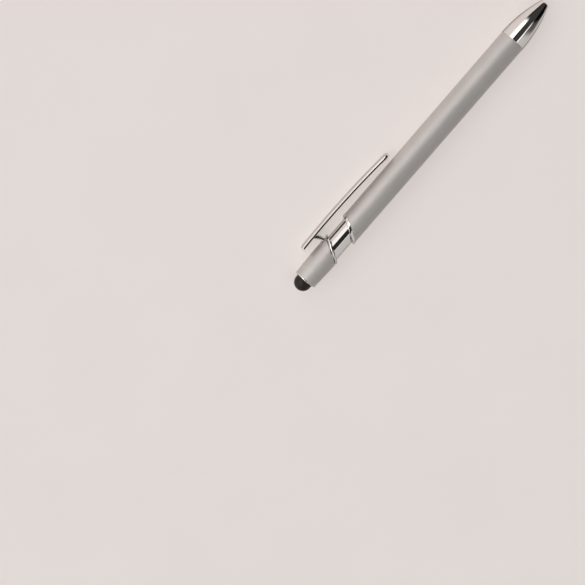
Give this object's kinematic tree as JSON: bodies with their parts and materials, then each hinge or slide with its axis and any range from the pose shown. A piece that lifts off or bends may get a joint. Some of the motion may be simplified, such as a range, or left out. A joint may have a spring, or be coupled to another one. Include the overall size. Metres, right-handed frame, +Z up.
{
  "type": "stylus pen",
  "caption": "Slim twist-action ballpoint pen with a rubber touch-screen dome, a slanted polished neck, a short cap and a bowed pocket clip.",
  "frame": {"origin": "centre of the bounding box at its bottom, on the surface that the pen lies on", "axes": "+X along the pen from the writing tip to the stylus dome, +Z up with the pen lying on its barrel and on the clip's lower edge, the clip towards -Y"},
  "size_m": [0.14, 0.0144, 0.01],
  "materials": {
    "satin_grey": "satin anodised warm grey",
    "polished_chrome": "polished bright plate",
    "clip_chrome": "polished bright plate",
    "stylus_rubber": "fine matt conductive silicone",
    "turned_brass": "turned",
    "plain_steel": "plain",
    "white_plastic": "moulded",
    "refill_plastic": "clear-white extruded",
    "ink": "black ink paste",
    "tip_metal": "turned nickel silver",
    "ball_metal": "polished ball"
  },
  "bodies": {
    "barrel_body": {"barrel": "satin_grey", "barrel_trim_ring": "polished_chrome", "guide_sleeve": "white_plastic", "nose_insert": "turned_brass", "nose_cone": "polished_chrome", "return_spring": "plain_steel"},
    "cap_body": {"neck_spool": "polished_chrome", "cap_shell": "satin_grey", "drive_rotor": "white_plastic", "rotor_retainer": "plain_steel", "cap_insert": "turned_brass", "stylus_collar": "polished_chrome", "stylus_stem": "plain_steel", "stylus_dome": "stylus_rubber"},
    "clip_body": {"clip": "clip_chrome"},
    "refill_body": {"follower": "white_plastic", "follower_pin": "plain_steel", "refill_tube": "refill_plastic", "refill_ink": "ink", "refill_tip": "tip_metal", "writing_ball": "ball_metal"}
  },
  "joints": [
    {"name": "cap_twist", "type": "hinge", "parent": "barrel_body", "child": "cap_body", "pos_m": [0.05075, 0.00225, 0.005], "axis": [1, 0, 0], "range_deg": [0, 180]},
    {"name": "refill_slide", "type": "slide", "parent": "barrel_body", "child": "refill_body", "axis": [-1, 0, 0], "range_m": [0, 0.006], "deforming": ["return_spring"]},
    {"name": "clip_flex", "type": "hinge", "parent": "cap_body", "child": "clip_body", "pos_m": [0.04909, -0.00207, 0.0034], "axis": [0, -0.3473, 0.9378], "range_deg": [0, 3.5], "stiffness_Nm_per_rad": 2}
  ],
  "couplings": [
    {"joint": "refill_slide", "follows": "cap_twist", "m_per_rad": 0.0019099}
  ]
}
